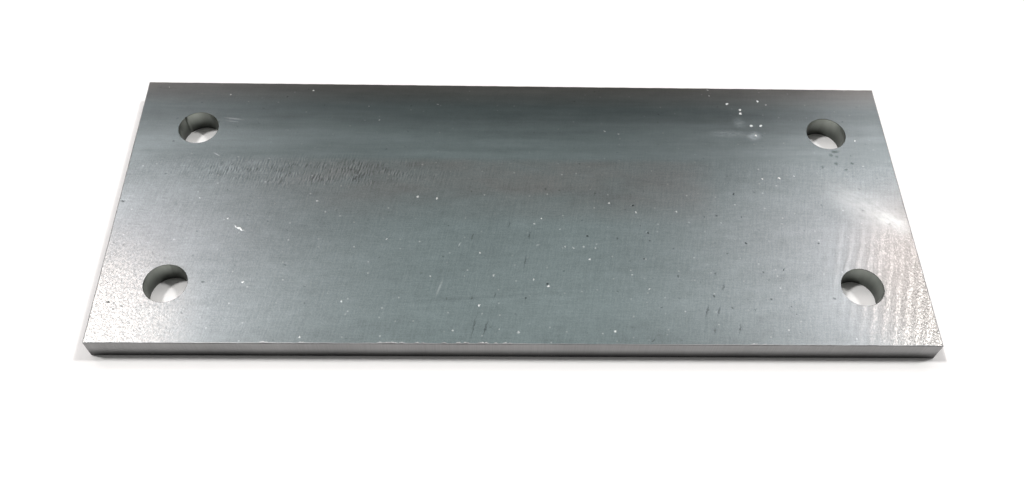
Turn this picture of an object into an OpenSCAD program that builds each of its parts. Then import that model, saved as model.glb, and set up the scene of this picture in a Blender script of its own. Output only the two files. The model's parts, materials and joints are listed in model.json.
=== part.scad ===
// Flat steel fixing plate cut from hot-rolled stock, with one bolt hole near each corner.
// The origin is the centre of the underside. X runs along the length, Y across the width, Z up.

/* [Plate] */
// Length of the plate, along X
plate_length = 250; // [120:1:600]
// Width of the plate, along Y
plate_width = 100; // [60:1:300]
// Thickness of the plate, along Z
plate_thickness = 8; // [3:0.5:25]
// Width of the small bevel where the sharp outer edges are broken
edge_break = 0.3; // [0.1:0.1:1]

/* [Bolt holes] */
// Diameter of each hole: 13 clears an M12 bolt
hole_diameter = 13; // [6:0.5:24]
// Distance from each short end to the centres of its two holes
hole_end_distance = 20; // [12:1:45]
// Distance from each long side to the centres of its two holes
hole_side_distance = 20; // [12:1:38]
// Width of the small bevel at both rims of each hole
rim_break = 0.1; // [0.1:0.1:1]

/* [Hidden] */
$fn = 96;

hole_radius = hole_diameter / 2;
hole_x = plate_length / 2 - hole_end_distance;
hole_y = plate_width / 2 - hole_side_distance;
// How far a cutter runs past the face that it opens
overrun = 1;
mill_scale_grey = "#737b7d";

// Rectangle centred on the origin, with each corner cut off at 45 degrees
module bevelled_rectangle(size, bevel) {
    x = size[0] / 2;
    y = size[1] / 2;
    polygon([
        [x - bevel, -y], [x, bevel - y], [x, y - bevel], [x - bevel, y],
        [bevel - x, y], [-x, y - bevel], [-x, bevel - y], [bevel - x, -y]
    ]);
}

// The plate before it is drilled: the outline, the cross section and the long section
// each carry the broken edges of one direction, and the plate is what they share
module blank() {
    translate([0, 0, plate_thickness / 2])
        intersection() {
            linear_extrude(plate_thickness, center = true)
                bevelled_rectangle([plate_length, plate_width], edge_break);
            rotate([90, 0, 90])
                linear_extrude(plate_length, center = true)
                    bevelled_rectangle([plate_width, plate_thickness], edge_break);
            rotate([90, 0, 0])
                linear_extrude(plate_width, center = true)
                    bevelled_rectangle([plate_length, plate_thickness], edge_break);
        }
}

// What one hole takes away: a straight bore that opens out at 45 degrees at both faces
module bolt_hole() {
    mouth_radius = hole_radius + rim_break + overrun;
    rotate_extrude()
        polygon([
            [0, -overrun],
            [mouth_radius, -overrun],
            [hole_radius, rim_break],
            [hole_radius, plate_thickness - rim_break],
            [mouth_radius, plate_thickness + overrun],
            [0, plate_thickness + overrun]
        ]);
}

module plate() {
    color(mill_scale_grey)
        difference() {
            blank();
            for (x = [-hole_x, hole_x], y = [-hole_y, hole_y])
                translate([x, y, 0])
                    bolt_hole();
        }
}

plate();
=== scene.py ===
import json

import bmesh
import bpy
import numpy as np
from mathutils import Matrix, Vector


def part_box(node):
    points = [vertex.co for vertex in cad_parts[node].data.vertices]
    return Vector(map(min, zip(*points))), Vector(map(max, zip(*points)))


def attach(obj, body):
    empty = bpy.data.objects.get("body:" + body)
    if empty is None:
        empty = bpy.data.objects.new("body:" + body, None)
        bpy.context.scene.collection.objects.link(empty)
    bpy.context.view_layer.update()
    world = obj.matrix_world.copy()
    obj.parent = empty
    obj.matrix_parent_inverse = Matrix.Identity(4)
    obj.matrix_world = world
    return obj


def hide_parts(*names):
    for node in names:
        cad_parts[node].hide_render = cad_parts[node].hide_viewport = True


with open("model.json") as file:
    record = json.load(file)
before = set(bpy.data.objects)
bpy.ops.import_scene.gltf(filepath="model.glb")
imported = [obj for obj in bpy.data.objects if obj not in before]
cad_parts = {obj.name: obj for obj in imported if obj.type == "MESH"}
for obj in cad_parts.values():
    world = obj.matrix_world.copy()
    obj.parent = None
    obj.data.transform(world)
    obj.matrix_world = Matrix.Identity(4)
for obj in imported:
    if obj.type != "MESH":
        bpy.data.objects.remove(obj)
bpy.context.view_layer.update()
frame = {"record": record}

# The plate is one piece of hot-rolled mild steel, cut to length and drilled for four bolts.
# Its two rolled faces keep their mill scale, and its cut sides and bores are bare steel.
# The sharp edges are just broken, and handling has dented the top edge at the front.
mm = 0.001
half_length, half_width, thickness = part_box("plate")[1]
edge_break = 0.3 * mm
bores = [mount for mount in frame["record"]["mounts"] if mount["kind"] == "bore"]
hole_radius = bores[0]["dims"]["r_mm"] * mm
rim_break = (thickness - bores[0]["dims"]["length_mm"] * mm) / 2
hole_x, hole_y, _ = np.abs(bores[0]["pos_m"])

# Grid lines of a rolled face. Each hole stands in the middle of a square whose outer sides are
# the plate's own edges and whose inner sides are square_x and square_y from the plate's middle.
# Lines are 0.6 to 1.3 mm apart, and 0.25 mm where the front edge is dented most.
face_x = half_length - edge_break
face_y = half_width - edge_break
square_x = 2 * hole_x - half_length
square_y = 2 * hole_y - half_width
end_x = np.linspace(square_x, face_x, 41)
side_y = np.linspace(square_y, face_y, 31)
dented_from, dented_to = -42 * mm, 2 * mm
middle_x = np.concatenate([
    np.linspace(-square_x, dented_from, 73)[:-1],
    np.linspace(dented_from, dented_to, 177),
    np.linspace(dented_to, square_x, 139)[1:],
])
middle_y = np.linspace(-square_y, square_y, 16)
all_x = np.concatenate([-end_x[:0:-1], middle_x, end_x[1:]])
all_y = np.concatenate([-side_y[:0:-1], middle_y, side_y[1:]])

# Dents along the top edge at the front: place along X, length and depth, in millimetres
front_dents = [
    (-73.5, 3.0, 0.2), (-62.5, 2.5, 0.2), (-40, 2.2, 0.2), (-37, 4.5, 0.45), (-33.8, 2, 0.25),
    (-29.3, 1.5, 0.25), (-27.6, 0.9, 0.2), (-21.5, 1.7, 0.3), (-17.3, 2, 0.25), (-15, 1.8, 0.3),
    (-10.8, 2, 0.4), (-9.2, 1.4, 0.3), (-6.5, 1.2, 0.3), (-3.8, 1.4, 0.2), (-2.3, 1.2, 0.25),
    (69, 2.5, 0.15), (72, 1.5, 0.15),
]
# The knock across the right end: its place, and its turn anticlockwise in degrees
knock_x, knock_y = 116 * mm, -2.5 * mm
knock_turn = -37


def rolled_relief(x, y):
    """Height of the top face above flat: two low waves left by the rolls, and at the knock one
    shallow hollow, a Gaussian with half axes of 13 by 6 mm."""
    waves = 0.012 * np.sin(x / (21 * mm) + 0.8) * np.cos(y / (13 * mm) - 0.5)
    swell = 0.015 * np.sin(x / (47 * mm) + y / (35 * mm))
    turn = np.radians(knock_turn)
    along = (x - knock_x) * np.cos(turn) + (y - knock_y) * np.sin(turn)
    across = (y - knock_y) * np.cos(turn) - (x - knock_x) * np.sin(turn)
    hollow = 0.025 * np.exp(-(along / (13 * mm)) ** 2 - (across / (6 * mm)) ** 2)
    return (waves + swell - hollow) * mm


def edge_loss(x, y):
    """Metal lost at points of the top face's border: a ragged line all round, and at the front
    the deepest of the dents, each half an ellipse along X. It fades out 3 mm before a corner."""
    along = np.where(np.isclose(np.abs(y), face_y), x, y)
    ragged = 0.03 * mm * (2 + np.sin(along / (0.9 * mm)) + np.sin(along / (2.3 * mm) + 1.3))
    places, lengths, depths = np.array(front_dents).T[:, :, None] * mm
    reach = 1 - ((x.ravel() - places) / (lengths / 2)) ** 2
    dents = (depths * np.sqrt(np.clip(reach, 0, None))).max(axis=0).reshape(x.shape)
    dents = dents * (0.75 + 0.25 * np.sin(x / (0.21 * mm)) * np.sin(x / (0.37 * mm) + 0.5))
    at_front = np.isclose(y, -face_y)
    from_corner = (face_x - np.abs(x)) + (face_y - np.abs(y))
    return (ragged + np.where(at_front, dents, 0)) * np.clip(from_corner / (3 * mm), 0, 1)


def rolled_face(x, y, top):
    """Points of a rolled face: the flat place at z = 0 for the underside; for the top, the place
    drawn in by the metal lost where it is on the border, at the thickness plus the relief."""
    if not top:
        return np.stack([x, y, np.zeros_like(x)], axis=-1)
    loss = edge_loss(x, y)
    drawn_x = x - np.sign(x) * loss * np.isclose(np.abs(x), face_x)
    drawn_y = y - np.sign(y) * loss * np.isclose(np.abs(y), face_y)
    return np.stack([drawn_x, drawn_y, thickness + rolled_relief(drawn_x, drawn_y)], axis=-1)


# Drag marks down the bore walls, where a drill was drawn out: angle in degrees and depth in
# millimetres, for each hole by the signs of its X and Y
drag_marks = {(-1, 1): (139, 0.12), (-1, -1): (90, 0.05), (1, -1): (-12, 0.15), (1, 1): (60, 0.05)}


def rim_radius(side, angle):
    """Radius of a bore at an angle: the drilled radius, plus a Gaussian groove at its drag mark."""
    mark, depth = drag_marks[side]
    away = (np.degrees(angle) - mark + 180) % 360 - 180
    return hole_radius + depth * mm * np.exp(-(away / 3.5) ** 2)


def square_border(side):
    """Border points of the square round a hole, anticlockwise, closed, on the face's grid lines."""
    x = end_x if side[0] > 0 else -end_x[::-1]
    y = side_y if side[1] > 0 else -side_y[::-1]
    border_x = np.concatenate([x, np.full(y.size, x[-1]), x[::-1], np.full(y.size, x[0])])
    border_y = np.concatenate([np.full(x.size, y[0]), y, np.full(x.size, y[-1]), y[::-1]])
    return border_x, border_y


# Shares of the way from a hole's rim to its square: close together at the rim
ring_shares = np.linspace(0, 1, 11) ** 1.5
# Angles round a quarter-round broken edge
quarter_turn = np.radians([0, 22.5, 45, 67.5, 90])
# Material slots of the scale, the cut sides and the bores
scale_slot = 0
side_slot = 1
bore_slot = 2
grids = []
for top in (True, False):
    flip = 1 if top else -1
    for block_x, block_y in [(middle_x, all_y), (end_x, middle_y), (-end_x[::-1], middle_y)]:
        x, y = np.meshgrid(block_x, block_y)
        grids.append((rolled_face(x, y, top)[:, ::flip], scale_slot))
for bore in bores:
    centre_x, centre_y, _ = bore["pos_m"]
    side = (int(np.sign(centre_x)), int(np.sign(centre_y)))
    border_x, border_y = square_border(side)
    angle = np.arctan2(border_y - centre_y, border_x - centre_x)
    bore_radius = rim_radius(side, angle)
    mouth_x = centre_x + (bore_radius + rim_break) * np.cos(angle)
    mouth_y = centre_y + (bore_radius + rim_break) * np.sin(angle)
    x = mouth_x[:, None] + (border_x - mouth_x)[:, None] * ring_shares
    y = mouth_y[:, None] + (border_y - mouth_y)[:, None] * ring_shares
    top_patch = rolled_face(x, y, True)
    grids.append((top_patch, scale_slot))
    grids.append((rolled_face(x, y, False)[:, ::-1], scale_slot))
    # The wall of the bore: a profile from the top mouth to the bottom one, turned round its axis
    mouth_z = top_patch[:, 0, 2]
    lip = rim_break * (1 - np.sin(quarter_turn))[:, None]
    fall = rim_break * (1 - np.cos(quarter_turn))[:, None]
    shares = np.linspace(0, 1, 7)[1:-1, None]
    straight_z = (mouth_z - rim_break) * (1 - shares) + rim_break * shares
    wall_z = np.concatenate([mouth_z - fall, straight_z, fall[::-1] + np.zeros_like(mouth_z)])
    wall_radius = bore_radius + np.concatenate([lip, np.zeros_like(shares), lip[::-1]])
    wall_x = centre_x + wall_radius * np.cos(angle)
    wall_y = centre_y + wall_radius * np.sin(angle)
    grids.append((np.stack([wall_x, wall_y, wall_z], axis=-1), bore_slot))

# The cut sides: a profile with two quarter-round edges, from the underside up to the top face,
# carried anticlockwise along the face's border and fanned round its four corners
sides = [(all_x, -face_y), (face_x, all_y), (all_x[::-1], face_y), (-face_x, all_y[::-1])]
path = []
for quarter, (x, y) in enumerate(sides):
    x, y = np.broadcast_arrays(x, y)
    facing = np.radians(90 * quarter - 90)
    fan = facing + quarter_turn[1:-1]
    path.append(np.stack([
        np.append(x, np.full(fan.size, x[-1])),
        np.append(y, np.full(fan.size, y[-1])),
        np.append(np.full(x.size, facing), fan),
    ]))
path_x, path_y, path_facing = np.concatenate(path + [path[0][:, :1]], axis=1)
lost = edge_loss(path_x, path_y)
rounding = edge_break + lost
top_z = rolled_face(path_x, path_y, True)[:, 2]
rise = np.sin(quarter_turn)[:, None]
reach = np.cos(quarter_turn)[:, None]
shares = np.linspace(0, 1, 6)[1:-1, None]
wall_z = np.concatenate([
    edge_break * (1 - rise[::-1]) + np.zeros_like(top_z),
    edge_break * (1 - shares) + (top_z - rounding) * shares,
    top_z - rounding * (1 - rise),
])
wall_out = np.concatenate([
    edge_break * reach[::-1] + np.zeros_like(top_z),
    edge_break * np.ones_like(shares) + np.zeros_like(top_z),
    edge_break - rounding * (1 - reach),
])
wall_x = path_x + wall_out * np.cos(path_facing)
wall_y = path_y + wall_out * np.sin(path_facing)
grids.append((np.stack([wall_x, wall_y, wall_z], axis=-1), side_slot))


def join_grids(name, grids):
    """One mesh from grids of points with their material slots. A grid's quads face along its
    column direction crossed with its row direction, and points that coincide are merged. Edges
    that turn by more than 8 degrees stay sharp, so a flat face shades flat up to its border."""
    points, quads, slots = [], [], []
    first = 0
    for grid, slot in grids:
        rows, columns, _ = grid.shape
        corner = first + np.arange(rows - 1)[:, None] * columns + np.arange(columns - 1)
        quad = np.stack([corner, corner + 1, corner + columns + 1, corner + columns], axis=-1)
        points.append(grid.reshape(-1, 3))
        quads.append(quad.reshape(-1, 4))
        slots.append(np.full(corner.size, slot))
        first += rows * columns
    same_place = 0.001 * mm
    sharp_turn = np.radians(8)
    mesh = bpy.data.meshes.new(name)
    mesh.from_pydata(np.concatenate(points).tolist(), [], np.concatenate(quads).tolist())
    mesh.polygons.foreach_set("material_index", np.concatenate(slots))
    welded = bmesh.new()
    welded.from_mesh(mesh)
    bmesh.ops.remove_doubles(welded, verts=welded.verts, dist=same_place)
    bmesh.ops.dissolve_degenerate(welded, edges=welded.edges, dist=same_place / 10)
    welded.to_mesh(mesh)
    welded.free()
    mesh.shade_smooth()
    mesh.set_sharp_from_angle(angle=sharp_turn)
    return mesh


plate = bpy.data.objects.new("rolled_plate", join_grids("rolled_plate", grids))
bpy.context.scene.collection.objects.link(plate)


def straight_marks(from_to, width):
    """Spots for straight scratches of full strength, from the two ends of each: the middle, the
    length, the width and the direction."""
    ends = np.array(from_to, float)
    start, step = ends[:, :2], ends[:, 2:] - ends[:, :2]
    middle = start + step / 2
    length = np.hypot(*step.T)
    turn = np.degrees(np.arctan2(step[:, 1], step[:, 0]))
    return np.column_stack([
        middle, length, np.full(length.size, width), turn, np.ones(length.size),
    ]).tolist()


# Small marks on the top face, in millimetres. Dust: place, size across and strength from 0 to 1.
dust_specks = [
    (72.9, 42.9, 1.1, 1), (77.1, 40.2, 1.2, 1), (77, 38.6, 1.2, 1), (83.7, 44.1, 1.2, 1),
    (86.5, 42.6, 0.7, 0.4), (80.1, 33.1, 1.3, 1), (83.3, 33.2, 1.1, 0.9), (81, 28.9, 1, 0.9),
    (67.3, 46.5, 0.7, 0.5), (67, 49, 0.7, 0.5), (86, 11.1, 1.1, 1), (80.5, 10.8, 0.8, 0.5),
    (91, 12, 0.7, 0.6), (114.3, 27.2, 0.8, 0.7), (-117.8, 47.7, 0.8, 0.5), (-96.5, 44.6, 0.9, 0.5),
    (-68.7, 46.8, 1, 0.9), (-26.2, 41.3, 0.7, 0.3), (-49.5, 40, 0.7, 0.35), (-45.5, 34, 0.8, 0.4),
    (30.1, 30.2, 0.8, 0.4), (34.5, 29, 0.7, 0.3), (-25.2, 1.9, 0.8, 0.7), (-31.3, 2.6, 0.8, 0.6),
    (-63, 0.5, 0.8, 0.5), (-100, 1.5, 0.8, 0.5), (-90, -6.5, 0.9, 0.6), (-82.1, -29.4, 1, 1),
    (-52.3, -35.8, 0.8, 0.6), (-63.3, -47.8, 0.8, 0.7), (-40.2, -13.7, 0.8, 0.6),
    (-11.2, -18.5, 0.8, 0.6), (-11.4, -37, 0.8, 0.6), (7.8, -5.6, 0.9, 0.9), (5.6, -7.6, 0.8, 0.5),
    (22.2, -20.6, 0.9, 0.8), (9.4, -30.2, 1, 1), (29.5, 0.7, 0.8, 0.6), (38, -3, 0.8, 0.6),
    (50.7, -2.5, 0.8, 0.5), (28.5, -45.5, 0.9, 0.8), (40, -31, 0.7, 0.5), (-7, -26.5, 0.8, 0.4),
    (-26.5, -27, 0.8, 0.4), (5, -28, 0.8, 0.4), (-19, -45.5, 0.9, 0.5), (-5.5, -45, 0.8, 0.4),
    (0, -46, 0.9, 0.4), (35, -26, 0.8, 0.4), (15, -16, 0.8, 0.35), (17.5, -16.5, 0.8, 0.35),
    (20.5, -16, 0.9, 0.4), (24.5, -16.5, 0.7, 0.3), (13.5, -9.5, 0.7, 0.35),
]
# Small pits through the scale: place, size across and strength
pit_spots = [
    (22, -12, 1, 0.9), (31.2, -12.9, 0.9, 0.6), (41.1, -10.8, 1.1, 1), (41.2, -13.6, 0.9, 0.7),
    (37.2, -0.2, 1.1, 1), (2.3, -34.4, 1, 0.8), (14.3, -24.8, 0.8, 0.6), (39, -20.4, 0.8, 0.6),
    (71.4, -14.3, 1, 0.9), (65, -18.3, 0.8, 0.6), (75.3, -24.9, 0.8, 0.6), (76.3, -34.4, 0.9, 0.6),
    (59.2, -33.4, 0.8, 0.6), (70.1, 4.6, 1, 0.8), (94.2, -14.2, 1, 0.7), (9.1, -29.5, 0.9, 0.9),
    (63.5, -4, 1, 0.7), (71.5, -4.5, 0.8, 0.5), (59.5, -4.5, 0.8, 0.6), (49, -26.5, 0.9, 0.6),
    (48.5, -16.5, 0.8, 0.5), (64, -37.5, 0.9, 0.6), (60.5, -25.5, 0.7, 0.5), (71, -38, 0.9, 0.5),
    (82, -37, 0.8, 0.5), (83, -39.5, 0.8, 0.5), (95.5, -34, 1.2, 0.5), (30, -32, 0.8, 0.5),
    (-22.5, -20, 0.8, 0.5), (-21.5, -8.5, 0.9, 0.5), (39, -8, 0.7, 0.5), (101, 15.5, 0.9, 0.6),
    (-118.9, -34.8, 0.8, 0.7), (-120.3, -36.4, 1, 0.8), (-118.9, -36.7, 0.8, 0.6),
    (-116.2, -37.7, 0.9, 0.7), (-118.7, -38.7, 0.8, 0.6),
]
# Scratches down to dark: from one end to the other
scratch_ends = [
    (-12, -39, -14, -49.5), (-8.3, -40, -10.7, -49), (-13.2, -33.5, -14, -35.5), (-6.5, -32, -7, -35),
    (4.2, -10, 3.9, -14), (3.2, -18, 1.8, -25), (-2, -6.5, -2.5, -9.5), (-13, -10.5, -14.3, -14.5),
    (57.5, -35.5, 55.3, -42), (60.8, -36, 59, -41.2), (58.3, -44, 57.4, -46.8), (66.2, -42, 64.5, -47.5),
    (62.8, -28, 61.8, -32.5), (40.2, -47.5, 38.8, -49.5), (10, 7, 9, 5), (25.7, 5.5, 24.8, 3.5),
    (-10.6, -48.8, -8.6, -49.6),
]
scratch_width = 0.8
# Marks of other forms: place, length, width, turn anticlockwise in degrees, and strength
fibre = (-86, -10, 4.2, 0.7, -31, 1)
long_pits = [
    (81.8, -24, 1.4, 0.6, 60, 0.8), (43, -37.5, 1.4, 0.6, 5, 0.8), (-93.9, -29.5, 1.6, 0.9, 0, 0.5),
    (-123.5, 0, 2, 0.8, 0, 0.5),
]
rub_spots = [
    (-17.7, -15.5, 2.4, 0.6, 66, 1), (-23.4, -31, 8, 1, 72, 0.5), (-97.3, 18.8, 3.8, 0.6, -32, 1),
    (-94, 34, 9, 0.8, -8, 0.7), (-94, 32.8, 7, 0.7, -6, 0.5), (6.5, -15.5, 2, 0.8, 15, 0.7),
]
stain_spots = [
    (106.5, 22.3, 4, 1.8, 0, 0.9), (105, 20.9, 2, 2, 0, 0.7), (106.8, 20.3, 1.8, 1.6, 0, 0.7),
    (106, 17.3, 2, 2, 0, 0.8), (111.3, 17.5, 2, 1.2, 0, 0.9), (108.8, 14.8, 1.6, 1, 0, 0.8),
    (101.2, 16, 1.2, 1.2, 0, 0.6),
]
# Raw nicks lie along the front edge where it is dented, and their pale colour is a painted glint,
# brightest in the deepest dent
nick_y = -49.6
nick_width = 0.9
deepest = max(depth for _, _, depth in front_dents)
face_marks = {
    "dust": [(x, y, across, across, 0, strength) for x, y, across, strength in dust_specks] + [fibre],
    "pit": [(x, y, across, across, 0, strength) for x, y, across, strength in pit_spots] + long_pits,
    "scratch": straight_marks(scratch_ends, scratch_width),
    "rub": rub_spots,
    "stain": stain_spots,
    "nick": [
        (x, nick_y, length, nick_width, 0, depth / deepest) for x, length, depth in front_dents
    ],
}


def place_marks(mesh, kind, spots):
    """Gives each face its nearest mark of a kind, by the distance in half axes from the face's
    middle, as three attributes: the spot, which is x, y and strength, and each axis as a unit
    vector over its half length. Faces off the top get a spot far away."""
    middles = np.empty(len(mesh.polygons) * 3)
    mesh.polygons.foreach_get("center", middles)
    middles = middles.reshape(-1, 3) / mm
    x, y, length, width, turn, strength = np.array(spots, float).T
    turn = np.radians(turn)
    flat = np.zeros_like(x)
    spot = np.stack([x, y, strength], axis=1)
    along = np.stack([np.cos(turn), np.sin(turn), flat], axis=1) / (length / 2)[:, None]
    across = np.stack([-np.sin(turn), np.cos(turn), flat], axis=1) / (width / 2)[:, None]
    offset = middles[:, None] - spot
    nearest = np.hypot((offset * along).sum(axis=2), (offset * across).sum(axis=2)).argmin(axis=1)
    top_skin = 0.2
    on_top = middles[:, 2:] > thickness / mm - top_skin
    far_away = 1e4
    values = {
        "_spot": np.where(on_top, spot[nearest], far_away),
        "_along": along[nearest],
        "_across": across[nearest],
    }
    for name, value in values.items():
        attribute = mesh.attributes.new(kind + name, "FLOAT_VECTOR", "FACE")
        attribute.data.foreach_set("vector", value.astype(np.float32).ravel())


for kind, spots in face_marks.items():
    place_marks(plate.data, kind, spots)


def linear(colour):
    """An sRGB hex colour as linear RGBA: each channel by the sRGB curve, alpha 1."""
    channels = np.array([int(colour[place:place + 2], 16) / 255 for place in (1, 3, 5)])
    curved = np.where(channels <= 0.04045, channels / 12.92, ((channels + 0.055) / 1.055) ** 2.4)
    return (*curved.tolist(), 1.0)


def node(tree, kind, inputs, out=0, **settings):
    """Adds one node and returns one of its outputs. Settings are the node's own properties, and
    inputs its sockets' values, or the outputs linked to them."""
    added = tree.nodes.new("ShaderNode" + kind)
    for name, value in settings.items():
        setattr(added, name, value)
    for socket, value in inputs.items():
        if isinstance(value, bpy.types.NodeSocket):
            tree.links.new(value, added.inputs[socket])
        else:
            added.inputs[socket].default_value = value
    return added.outputs[out]


def mottle(tree, place, along, across, turn=0, detail=2):
    """Random pattern from -1 to 1 of patches about along by across millimetres and 20 high, so
    upright lines on a side, turned anticlockwise by degrees: noise in coordinates divided by
    those sizes, whose usual range of 0.28 to 0.72 is stretched."""
    high = 20
    local = node(tree, "Mapping", {
        "Vector": place,
        "Rotation": (0, 0, np.radians(turn)),
        "Scale": (along, across, high),
    }, vector_type="TEXTURE")
    noise = node(tree, "TexNoise", {"Vector": local, "Scale": 1, "Detail": detail})
    return node(tree, "MapRange", {
        "Value": noise, "From Min": 0.28, "From Max": 0.72, "To Min": -1, "To Max": 1,
    })


def region(tree, place, areas, whole, strength=1):
    """Strength on the areas and 0 off them. An area is (x, y, length, width, turn): an ellipse on
    the top face in millimetres, turned anticlockwise by degrees. The distance in half axes is
    the length of a vector in the ellipse's own frame, and it fades from the share whole to 1. An
    area reaches 4 mm down into the plate, so it leaves the underside alone."""
    deep = 4
    nearest = None
    for x, y, length, width, turn in areas:
        local = node(tree, "Mapping", {
            "Vector": place,
            "Location": (x, y, thickness / mm),
            "Rotation": (0, 0, np.radians(turn)),
            "Scale": (length / 2, width / 2, deep),
        }, vector_type="TEXTURE")
        distance = node(tree, "VectorMath", {0: local}, out="Value", operation="LENGTH")
        if nearest is None:
            nearest = distance
        else:
            nearest = node(tree, "Math", {0: nearest, 1: distance}, operation="MINIMUM")
    return node(tree, "MapRange", {
        "Value": nearest, "From Min": 1, "From Max": whole, "To Min": 0, "To Max": strength,
    }, interpolation_type="SMOOTHSTEP")


def marks(tree, place, kind, whole, strength):
    """Strength on the small marks of a kind and 0 off them. Each face knows its nearest mark's
    place, strength and two axes, and the distance in half axes is the length of the two dot
    products of the offset with the axes."""
    spot = node(tree, "Attribute", {}, out="Vector", attribute_name=kind + "_spot")
    own_strength = node(tree, "SeparateXYZ", {0: spot}, out="Z")
    offset = node(tree, "VectorMath", {0: place, 1: spot}, operation="SUBTRACT")
    shares = {}
    for axis, name in enumerate(("_along", "_across")):
        direction = node(tree, "Attribute", {}, out="Vector", attribute_name=kind + name)
        shares[axis] = node(tree, "VectorMath", {
            0: offset, 1: direction,
        }, out="Value", operation="DOT_PRODUCT")
    both = node(tree, "CombineXYZ", shares)
    distance = node(tree, "VectorMath", {0: both}, out="Value", operation="LENGTH")
    cover = node(tree, "MapRange", {
        "Value": distance, "From Min": 1, "From Max": whole, "To Min": 0, "To Max": strength,
    }, interpolation_type="SMOOTHSTEP")
    return node(tree, "Math", {0: cover, 1: own_strength}, operation="MULTIPLY")


def grit(tree, place, apart, across, strength):
    """Random specks of at most the given width, one in each cell about apart millimetres wide, few
    of them strong: 0 off them, and on them the fourth power of the cell's own random number."""
    distance = node(tree, "TexVoronoi", {
        "Vector": place, "Scale": 1 / apart,
    }, out="Distance", voronoi_dimensions="2D")
    chance = node(tree, "SeparateXYZ", {0: distance.node.outputs["Color"]})
    chance = node(tree, "Math", {0: chance, 1: 4.0}, operation="POWER")
    edge = across / 2 / apart
    cover = node(tree, "MapRange", {
        "Value": distance, "From Min": edge, "From Max": 0, "To Min": 0, "To Max": strength,
    })
    return node(tree, "Math", {0: cover, 1: chance}, operation="MULTIPLY")


def new_finish(name):
    """A new material, with its node tree and the Object coordinates in millimetres."""
    material = bpy.data.materials.new(name)
    material.use_nodes = True
    tree = material.node_tree
    coordinates = node(tree, "TexCoord", {}, out="Object")
    place = node(tree, "VectorMath", {0: coordinates, "Scale": 1 / mm}, operation="SCALE")
    return material, tree, place


def wire_surface(tree, **inputs):
    """Sets the main shader's inputs, named with _ for a space, to values or to outputs."""
    surface = tree.nodes["Principled BSDF"]
    for name, value in inputs.items():
        socket = surface.inputs[name.replace("_", " ")]
        if isinstance(value, bpy.types.NodeSocket):
            tree.links.new(value, socket)
        else:
            socket.default_value = value


def stripes(tree, place, spacing, turn, wander, detail, detail_scale):
    """Bands that rise and fall between 0 and 1 along X, a spacing in millimetres apart, turned
    anticlockwise by degrees: a sine wave, bent by noise as strong as wander. The texture repeats
    it every 2 pi / 20 units."""
    wave_period = 2 * np.pi / 20
    units = spacing / wave_period
    local = node(tree, "Mapping", {
        "Vector": place,
        "Rotation": (0, 0, np.radians(turn)),
        "Scale": (units, units, units),
    }, vector_type="TEXTURE")
    return node(tree, "TexWave", {
        "Vector": local, "Scale": 1, "Distortion": wander, "Detail": detail, "Detail Scale": detail_scale,
    })


# Hot-rolled mill scale: the thin blue-grey oxide that forms on steel as it is rolled hot. It is
# smooth and half glossy, with streaks along the rolling at the back and a fine weave of lines
# elsewhere, rubbed through to bare steel at the front corners, with dust and small pits. Its colour
# also carries painted shade across the back, and painted highlights at the ends, the worn corners,
# the knock and the nicks.
mill_scale, tree, place = new_finish("hot_rolled_mill_scale")
place_x = node(tree, "SeparateXYZ", {0: place}, out="X")
place_y = node(tree, "SeparateXYZ", {0: place}, out="Y")
from_middle = node(tree, "Math", {0: place_x}, operation="ABSOLUTE")

# Towards the back the streaks take over from the weave, between these two places along Y
streaks_from, streaks_full = 16, 19.5
streaked = node(tree, "MapRange", {
    "Value": place_y, "From Min": streaks_from, "From Max": streaks_full,
})
woven = node(tree, "MapRange", {
    "Value": place_y, "From Min": streaks_from, "From Max": streaks_full, "To Min": 1, "To Max": 0.35,
})
# The weave and the grain lean to the right: their turn anticlockwise in degrees
lean = -11

# The hatched patch at the left: short leaning strokes, about 0.9 mm apart, in broken rows
hatch = stripes(tree, place, 0.9, lean, wander=4, detail=1, detail_scale=2)
hatch = node(tree, "MapRange", {"Value": hatch, "To Min": -1, "To Max": 1})
hatch_area = region(tree, place, [(-66, 12, 116, 17, 0)], whole=0.2)
hatch_rows = node(tree, "MapRange", {
    "Value": mottle(tree, place, 6, 2.5), "From Min": -0.9, "From Max": 0.8,
})
hatch_area = node(tree, "Math", {0: hatch_area, 1: hatch_rows}, operation="MULTIPLY")

# Chatter from straightening at the front right: soft ridges 3.2 mm apart, which lean more
ridge_lean = -17
ridges = stripes(tree, place, 3.2, ridge_lean, wander=2, detail=2, detail_scale=1.5)
ridges = node(tree, "MapRange", {"Value": ridges, "From Min": 0.3, "From Max": 0.95})
ridge_share = node(tree, "Math", {0: ridges, 1: 0.65, 2: 0.45}, operation="MULTIPLY_ADD")
chatter_area = region(tree, place, [(112, -29, 46, 58, 0)], whole=0.3)
ridges = node(tree, "Math", {0: ridges, 1: chatter_area}, operation="MULTIPLY")

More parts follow.
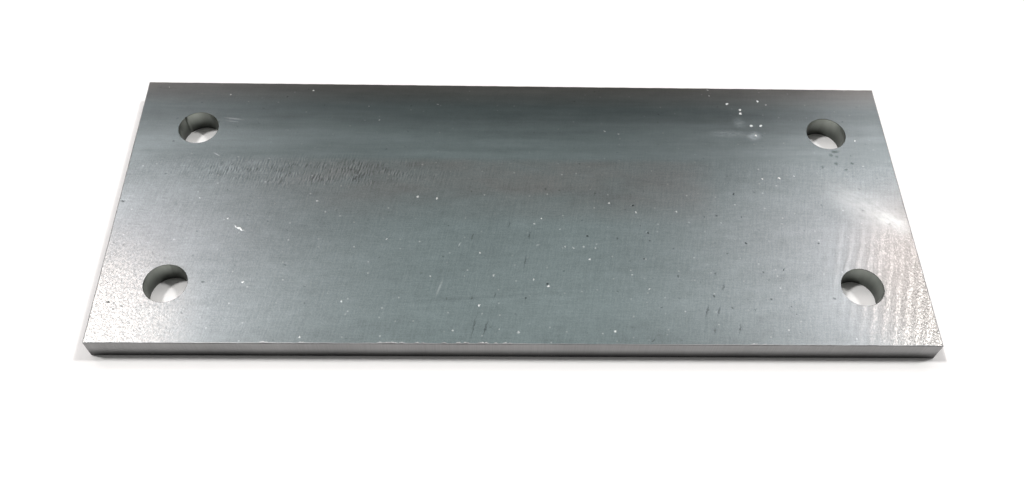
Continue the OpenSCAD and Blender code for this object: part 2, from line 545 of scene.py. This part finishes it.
# Tone: each pattern lightens and darkens the scale by its strength, everywhere or where it lies. The
# weave and the speckle are drawn coarser than they are, to show.
lighter_patches = region(tree, place, [(-82, 34, 90, 50, 0), (126, 40, 60, 50, 0)], whole=0.2)
layers = [
    (mottle(tree, place, 45, 14, detail=3), 0.08, None),
    (mottle(tree, place, 90, 4), 0.09, streaked),
    (mottle(tree, place, 18, 1.5), 0.05, streaked),
    (mottle(tree, place, 0.4, 5, turn=lean), 0.07, woven),
    (mottle(tree, place, 4, 0.4), 0.055, woven),
    (mottle(tree, place, 0.35, 0.35, detail=1), 0.1, woven),
    (hatch, 0.22, hatch_area),
    (mottle(tree, place, 0.4, 1.8, turn=lean, detail=0), 0.42, hatch_area),
    (mottle(tree, place, 7, 2.5), 0.05, None),
    (ridges, 0.12, None),
    (lighter_patches, 0.2, None),
]
tone = 1.0
for pattern, strength, where in layers:
    if where is not None:
        pattern = node(tree, "Math", {0: pattern, 1: where}, operation="MULTIPLY")
    tone = node(tree, "Math", {0: pattern, 1: strength, 2: tone}, operation="MULTIPLY_ADD")
# Painted shade and sheen: the scale is drawn darker across the back, darkest at the middle of the
# back and front edges where it mirrors a darker room, and lighter at both ends where the lamps' sheen
# falls
painted_back_band_shade = node(tree, "MapRange", {
    "Value": place_y, "From Min": 22, "From Max": 40, "To Min": 1, "To Max": 0.74,
}, interpolation_type="SMOOTHSTEP")
painted_darkest_back = node(tree, "MapRange", {
    "Value": place_y, "From Min": 30, "From Max": 40, "To Max": -0.22,
})
painted_darkest_front = node(tree, "MapRange", {
    "Value": place_y, "From Min": -36, "From Max": -48, "To Max": -0.13,
})
painted_darkest_middle = node(tree, "MapRange", {"Value": from_middle, "From Min": 110, "From Max": 60})
painted_darkest = node(tree, "Math", {0: painted_darkest_back, 1: painted_darkest_front}, operation="ADD")
painted_darkest = node(tree, "Math", {0: painted_darkest, 1: painted_darkest_middle, 2: 1.0}, operation="MULTIPLY_ADD")
painted_end_sheen = node(tree, "MapRange", {
    "Value": from_middle, "From Min": 80, "From Max": 125, "To Min": 1, "To Max": 1.13,
})
for factor in (painted_back_band_shade, painted_darkest, painted_end_sheen):
    tone = node(tree, "Math", {0: tone, 1: factor}, operation="MULTIPLY")

# Bare steel shows in specks where the two front corners are worn, and their pale colour is also a
# painted highlight for the glare there: evenly at the left, in columns along the ridges at the right,
# and as single sparks, painted glints, behind those
worn_and_glare_left = region(tree, place, [(-130, -48, 84, 92, 0)], whole=0.2)
worn_and_glare_right = region(tree, place, [(132, -56, 72, 132, 0)], whole=0.2)
worn_and_glare = node(tree, "Math", {0: worn_and_glare_left, 1: worn_and_glare_right}, operation="MAXIMUM")
specks = mottle(tree, place, 0.4, 0.7, turn=lean)
left_specks = node(tree, "MapRange", {
    "Value": specks, "From Min": -0.5, "From Max": 0.6, "To Min": 0.36, "To Max": 0.95,
})
right_specks = node(tree, "MapRange", {
    "Value": specks, "From Min": -0.15, "From Max": 0.4, "To Min": 0.15, "To Max": 1,
})
columns = node(tree, "Math", {0: worn_and_glare_right, 1: ridge_share}, operation="MULTIPLY")
columns = node(tree, "Math", {
    0: ridges, 1: 0.15, 2: columns,
}, operation="MULTIPLY_ADD", use_clamp=True)
sparks = node(tree, "MapRange", {"Value": specks, "From Min": 0.1, "From Max": 0.5})
spark_area = region(tree, place, [(121, -17, 32, 28, 0)], whole=0.3, strength=0.5)
bare_and_glare = 0.0
for area, share in [(worn_and_glare_left, left_specks), (columns, right_specks), (spark_area, sparks)]:
    shown = node(tree, "Math", {0: area, 1: share}, operation="MULTIPLY")
    bare_and_glare = node(tree, "Math", {0: bare_and_glare, 1: shown}, operation="MAXIMUM")
# The knocked patch: the blow slid across the right end and rubbed the scale bright in streaks, and
# its bright colour is also a painted highlight standing in for glare
knocked_and_glare = region(tree, place, [(113, -1, 46, 20, knock_turn)], whole=0, strength=0.4)
knocked_and_glare_most = region(tree, place, [(119, -5, 24, 12, knock_turn)], whole=0, strength=0.85)
knocked_and_glare = node(tree, "Math", {0: knocked_and_glare, 1: knocked_and_glare_most}, operation="MAXIMUM")
rubbed_and_glare_streaks = node(tree, "MapRange", {
    "Value": mottle(tree, place, 2.5, 1.2, turn=knock_turn, detail=3),
    "From Min": -1, "From Max": 0.6, "To Min": 0.35,
})
knocked_and_glare = node(tree, "Math", {0: knocked_and_glare, 1: rubbed_and_glare_streaks}, operation="MULTIPLY")

# Tints: a warm cast over the middle with a clear edge at the back and right, a warm back edge,
# greyer ends that fade towards the back, and a warm front right corner
cast = mottle(tree, place, 22, 7, detail=3)
cast_front = node(tree, "MapRange", {"Value": place_y, "From Min": -8, "From Max": 6})
cast_back = node(tree, "MapRange", {"Value": place_y, "From Min": 18.5, "From Max": 16})
cast_right = node(tree, "MapRange", {"Value": place_x, "From Min": 66, "From Max": 58})
cast_left = node(tree, "MapRange", {"Value": place_x, "From Min": -100, "From Max": -50})
warm_cast = node(tree, "Math", {0: cast, 1: 0.2, 2: 0.4}, operation="MULTIPLY_ADD")
for share in (cast_front, cast_back, cast_right, cast_left):
    warm_cast = node(tree, "Math", {0: warm_cast, 1: share}, operation="MULTIPLY")
back_edge = node(tree, "MapRange", {
    "Value": place_y, "From Min": 40, "From Max": 49, "To Max": 0.8,
})
ends = node(tree, "MapRange", {
    "Value": from_middle, "From Min": 25, "From Max": 110, "To Max": 0.65,
})
towards_back = node(tree, "MapRange", {
    "Value": place_y, "From Min": -10, "From Max": 20, "To Min": 1, "To Max": 0.35,
})
ends = node(tree, "Math", {0: ends, 1: towards_back}, operation="MULTIPLY")
warm_corner = region(tree, place, [(131, -28, 72, 92, 0)], whole=0.3, strength=0.75)

# Small marks: noise moves the place by up to about 0.35 mm, which makes their outlines ragged
ragged = node(tree, "TexNoise", {
    "Vector": place, "Scale": 1.2, "Detail": 1,
}, out="Color", normalize=False)
ragged_place = node(tree, "VectorMath", {
    0: ragged, 1: (0.35, 0.35, 0), 2: place,
}, operation="MULTIPLY_ADD")
dust = marks(tree, ragged_place, "dust", whole=0.3, strength=0.95)
fine_dust = grit(tree, place, 5, 0.8, 0.32)
fine_dust = node(tree, "Math", {0: fine_dust, 1: woven}, operation="MULTIPLY")
dust = node(tree, "Math", {0: dust, 1: fine_dust}, operation="MAXIMUM")
pits = marks(tree, ragged_place, "pit", whole=0.3, strength=0.9)
fine_pits = grit(tree, ragged_place, 7, 0.9, 0.5)
pits = node(tree, "Math", {0: pits, 1: fine_pits}, operation="MAXIMUM")
scratches = marks(tree, ragged_place, "scratch", whole=0, strength=0.6)
rubbed = marks(tree, place, "rub", whole=0, strength=0.45)
stain = marks(tree, ragged_place, "stain", whole=0.2, strength=0.9)
# The nicks' pale colour is a painted glint
nick_glints = marks(tree, ragged_place, "nick", whole=0.3, strength=0.9)
faint_line = region(tree, place, [(-10, -34.2, 90, 1.6, 4.4)], whole=0, strength=0.15)
# A dried film with a streaky trail, at the back right
film = region(tree, place, [(80.3, 28.6, 7, 5.5, 0)], whole=0, strength=0.45)
film_trail_areas = [(72, 29.6, 20, 4.5, 0), (76, 34.5, 6, 7, 0)]
film_trail = region(tree, place, film_trail_areas, whole=0, strength=0.22)
film = node(tree, "Math", {0: film, 1: film_trail}, operation="MAXIMUM")
film_streaks = node(tree, "MapRange", {
    "Value": mottle(tree, place, 1.6, 0.7), "From Min": -0.8, "From Max": 0.8, "To Min": 0.3,
})
film = node(tree, "Math", {0: film, 1: film_streaks}, operation="MULTIPLY")

# The colour of the scale with its tints, scaled by the tone with its painted shade and sheen, and then
# what shows through or lies on it, with painted highlights on the worn corners, the knock and the nicks
colour = linear("#6d7878")
for mask, tint in [
    (warm_cast, "#6d6a67"), (back_edge, "#7c7a75"), (ends, "#757778"), (warm_corner, "#7b7873"),
]:
    colour = node(tree, "Mix", {0: mask, 6: colour, 7: linear(tint)}, out=2, data_type="RGBA")
colour = node(tree, "VectorMath", {0: colour, "Scale": tone}, operation="SCALE")
for mask, tint in [
    (bare_and_glare, "#b6b4af"), (knocked_and_glare, "#abb0ad"),
    (stain, "#465150"), (scratches, "#33383a"), (faint_line, "#33383a"), (pits, "#1c2122"),
    (rubbed, "#c8cccc"), (film, "#b9c4c6"), (nick_glints, "#dcdcd8"), (dust, "#e2e4e2"),
]:
    colour = node(tree, "Mix", {0: mask, 6: colour, 7: linear(tint)}, out=2, data_type="RGBA")

# Dust and film scatter the light, and the nicks carry a painted glint, so there the surface isn't
# metallic
dust_film_and_glints = node(tree, "Math", {0: dust, 1: film}, operation="MAXIMUM")
dust_film_and_glints = node(tree, "Math", {0: dust_film_and_glints, 1: nick_glints}, operation="MAXIMUM")
metallic = node(tree, "Math", {0: 1.0, 1: dust_film_and_glints}, operation="SUBTRACT")
roughness = mottle(tree, place, 30, 10)
roughness = node(tree, "Math", {0: roughness, 1: 0.01, 2: 0.29}, operation="MULTIPLY_ADD")
roughness = node(tree, "Math", {0: worn_and_glare, 1: 0.04, 2: roughness}, operation="MULTIPLY_ADD")

# Relief in millimetres: the grain of the scale, coarser where it is rubbed to bare steel
grain = mottle(tree, place, 0.6, 0.8, turn=lean, detail=3)
grain_height = node(tree, "Math", {0: worn_and_glare_right, 1: 0.025, 2: 0.004}, operation="MULTIPLY_ADD")
grain_height = node(tree, "Math", {0: worn_and_glare_left, 1: 0.017, 2: grain_height}, operation="MULTIPLY_ADD")
height = node(tree, "Math", {0: grain, 1: grain_height}, operation="MULTIPLY")
for mask, depth in [(ridges, 0.02), (pits, -0.05), (scratches, -0.02), (dust, 0.05)]:
    height = node(tree, "Math", {0: mask, 1: depth, 2: height}, operation="MULTIPLY_ADD")
normal = node(tree, "Bump", {"Height": height, "Distance": mm})
wire_surface(tree, Base_Color=colour, Metallic=metallic, Roughness=roughness, Normal=normal)

# Cut steel: the sheared and ground sides, with the fine upright lines of the cut. Bare metal above,
# and darker towards the lower edge with painted shade, for the shadowed floor that it mirrors.
cut_steel, tree, place = new_finish("sheared_bare_steel")
upright_lines = mottle(tree, place, 0.4, 0.4)
blotches = mottle(tree, place, 14, 14)
place_z = node(tree, "SeparateXYZ", {0: place}, out="Z")
painted_shade = node(tree, "MapRange", {
    "Value": place_z, "From Min": 0.8, "From Max": 5.2, "To Min": 0.21, "To Max": 1,
}, interpolation_type="SMOOTHSTEP")
tone = node(tree, "Math", {0: blotches, 1: 0.1, 2: 1.0}, operation="MULTIPLY_ADD")
tone = node(tree, "Math", {0: upright_lines, 1: 0.06, 2: tone}, operation="MULTIPLY_ADD")
tone = node(tree, "Math", {0: tone, 1: painted_shade}, operation="MULTIPLY")
colour = node(tree, "VectorMath", {0: linear("#8c8c8c")[:3], "Scale": tone}, operation="SCALE")
roughness = node(tree, "Math", {0: blotches, 1: 0.04, 2: 0.42}, operation="MULTIPLY_ADD")
height = node(tree, "Math", {0: upright_lines, 1: 0.006}, operation="MULTIPLY")
normal = node(tree, "Bump", {"Height": height, "Distance": mm})
wire_surface(tree, Base_Color=colour, Metallic=1.0, Roughness=roughness, Normal=normal)

# Drilled steel: the bore walls, with the fine rings that a twist drill leaves, about 0.35 mm apart,
# with painted shade that darkens them towards the underside and lightens them near the top
drilled_steel, tree, place = new_finish("drilled_steel")
ring_frame = node(tree, "Mapping", {"Vector": place, "Scale": (9, 9, 0.35)}, vector_type="TEXTURE")
rings = node(tree, "TexNoise", {"Vector": ring_frame, "Scale": 1, "Detail": 2})
place_z = node(tree, "SeparateXYZ", {0: place}, out="Z")
painted_shade = node(tree, "MapRange", {
    "Value": place_z, "From Min": 1, "From Max": 8, "To Min": 0.6, "To Max": 1.9,
}, interpolation_type="SMOOTHSTEP")
# The lip of the rim is painted darker, a painted shade, so that it doesn't catch the lamps as a bright
# ring
painted_dim_rim = node(tree, "MapRange", {
    "Value": place_z, "From Min": 7.8, "From Max": 7.9, "To Min": 1, "To Max": 0.3,
})
painted_shade = node(tree, "Math", {0: painted_shade, 1: painted_dim_rim}, operation="MULTIPLY")
tone = node(tree, "Math", {0: mottle(tree, place, 4, 4), 1: 0.15, 2: 1.0}, operation="MULTIPLY_ADD")
tone = node(tree, "Math", {0: tone, 1: painted_shade}, operation="MULTIPLY")
colour = node(tree, "VectorMath", {0: linear("#767a75")[:3], "Scale": tone}, operation="SCALE")
# The drag mark of the back left hole is dark at its mouth
gouge = region(tree, place, [(-109.9, 34.3, 1.4, 1.4, 0)], whole=0.2, strength=0.8)
colour = node(tree, "Mix", {0: gouge, 6: colour, 7: linear("#141816")}, out=2, data_type="RGBA")
height = node(tree, "Math", {0: rings, 1: 0.012}, operation="MULTIPLY")
normal = node(tree, "Bump", {"Height": height, "Distance": mm})
wire_surface(tree, Base_Color=colour, Metallic=1.0, Roughness=0.4, Normal=normal)

for finish in (mill_scale, cut_steel, drilled_steel):
    plate.data.materials.append(finish)
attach(plate, "root")
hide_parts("plate")

# The floor is a wide sheet of matt white paper, laid just under the plate. It takes the plate's
# shadow and otherwise shows as plain white.
floor_half = 30.0
floor_z = -0.02 * mm
corner_x, corner_y = np.meshgrid([-floor_half, floor_half], [-floor_half, floor_half])
floor_grid = np.stack([corner_x, corner_y, np.full_like(corner_x, floor_z)], axis=-1)
floor = bpy.data.objects.new("floor", join_grids("floor", [(floor_grid, 0)]))
bpy.context.scene.collection.objects.link(floor)
paper = bpy.data.materials.new("matt_white_paper")
paper.use_nodes = True
surface = paper.node_tree.nodes["Principled BSDF"]
surface.inputs["Base Color"].default_value = linear("#f8f6f4")
surface.inputs["Roughness"].default_value = 0.9
surface.inputs["Specular IOR Level"].default_value = 0
floor.data.materials.append(paper)

# Studio light: two key lamps high at the sides, and weaker broad ones behind that make the sheen.
# Each is a sun: name, azimuth clockwise from +Y, elevation and angular size in degrees, strength
# and colour.
lamps = [
    ("key_left", -74, 63, 6, 1.55, "#ffffff"),
    ("key_right", 70, 56, 6, 1.2, "#ffffff"),
    ("fill_left", -41, 54, 16, 0.4, "#fdf3f6"),
    ("fill_right", 39, 51, 14, 0.315, "#fdf3f6"),
    ("overhead", 0, 71, 38, 0.42, "#ffffff"),
]
for name, azimuth, elevation, size, strength, colour in lamps:
    lamp = bpy.data.lights.new(name, "SUN")
    lamp.energy = strength
    lamp.color = linear(colour)[:3]
    lamp.angle = np.radians(size)
    holder = bpy.data.objects.new(name, lamp)
    around, above = np.radians([azimuth, elevation])
    towards = Vector((np.sin(around) * np.cos(above), np.cos(around) * np.cos(above), np.sin(above)))
    holder.rotation_mode = "QUATERNION"
    holder.rotation_quaternion = towards.to_track_quat("Z", "Y")
    bpy.context.scene.collection.objects.link(holder)

# The room is pale near the horizon and dim overhead, and the pale reaches higher at the front
room = bpy.data.worlds.new("pale_room")
room.use_nodes = True
tree = room.node_tree
direction = node(tree, "TexCoord", {}, out="Generated")
up = node(tree, "VectorMath", {0: direction, 1: (0, 0.3, 1)}, out="Value", operation="DOT_PRODUCT")
brightness = node(tree, "MapRange", {
    "Value": up, "From Min": 0, "From Max": 0.5, "To Min": 0.6, "To Max": 0.1,
}, interpolation_type="SMOOTHSTEP")
tree.nodes["Background"].inputs["Color"].default_value = linear("#ffffff")
tree.links.new(brightness, tree.nodes["Background"].inputs["Strength"])
bpy.context.scene.world = room

# The camera stands where the photo was taken from, in front of the plate and above it, turned and
# rolled a little
camera_place = Vector((-9.89, -178.89, 259.68)) * mm
heading, depression, roll = np.radians([2.94, 56.96, 2.865])
forward = Vector((
    np.sin(heading) * np.cos(depression),
    np.cos(heading) * np.cos(depression),
    -np.sin(depression),
))
level = Vector((np.cos(heading), -np.sin(heading), 0))
right = level * np.cos(roll) + level.cross(forward) * np.sin(roll)
turned = Matrix((right, right.cross(forward), -forward)).transposed()
lens = bpy.data.cameras.new("camera")
lens.sensor_width = 36
lens.lens = 34.15
lens.clip_start = 0.01
camera = bpy.data.objects.new("camera", lens)
camera.matrix_world = Matrix.Translation(camera_place) @ turned.to_4x4()
bpy.context.scene.collection.objects.link(camera)
bpy.context.scene.camera = camera
bpy.context.scene.view_settings.view_transform = "Standard"
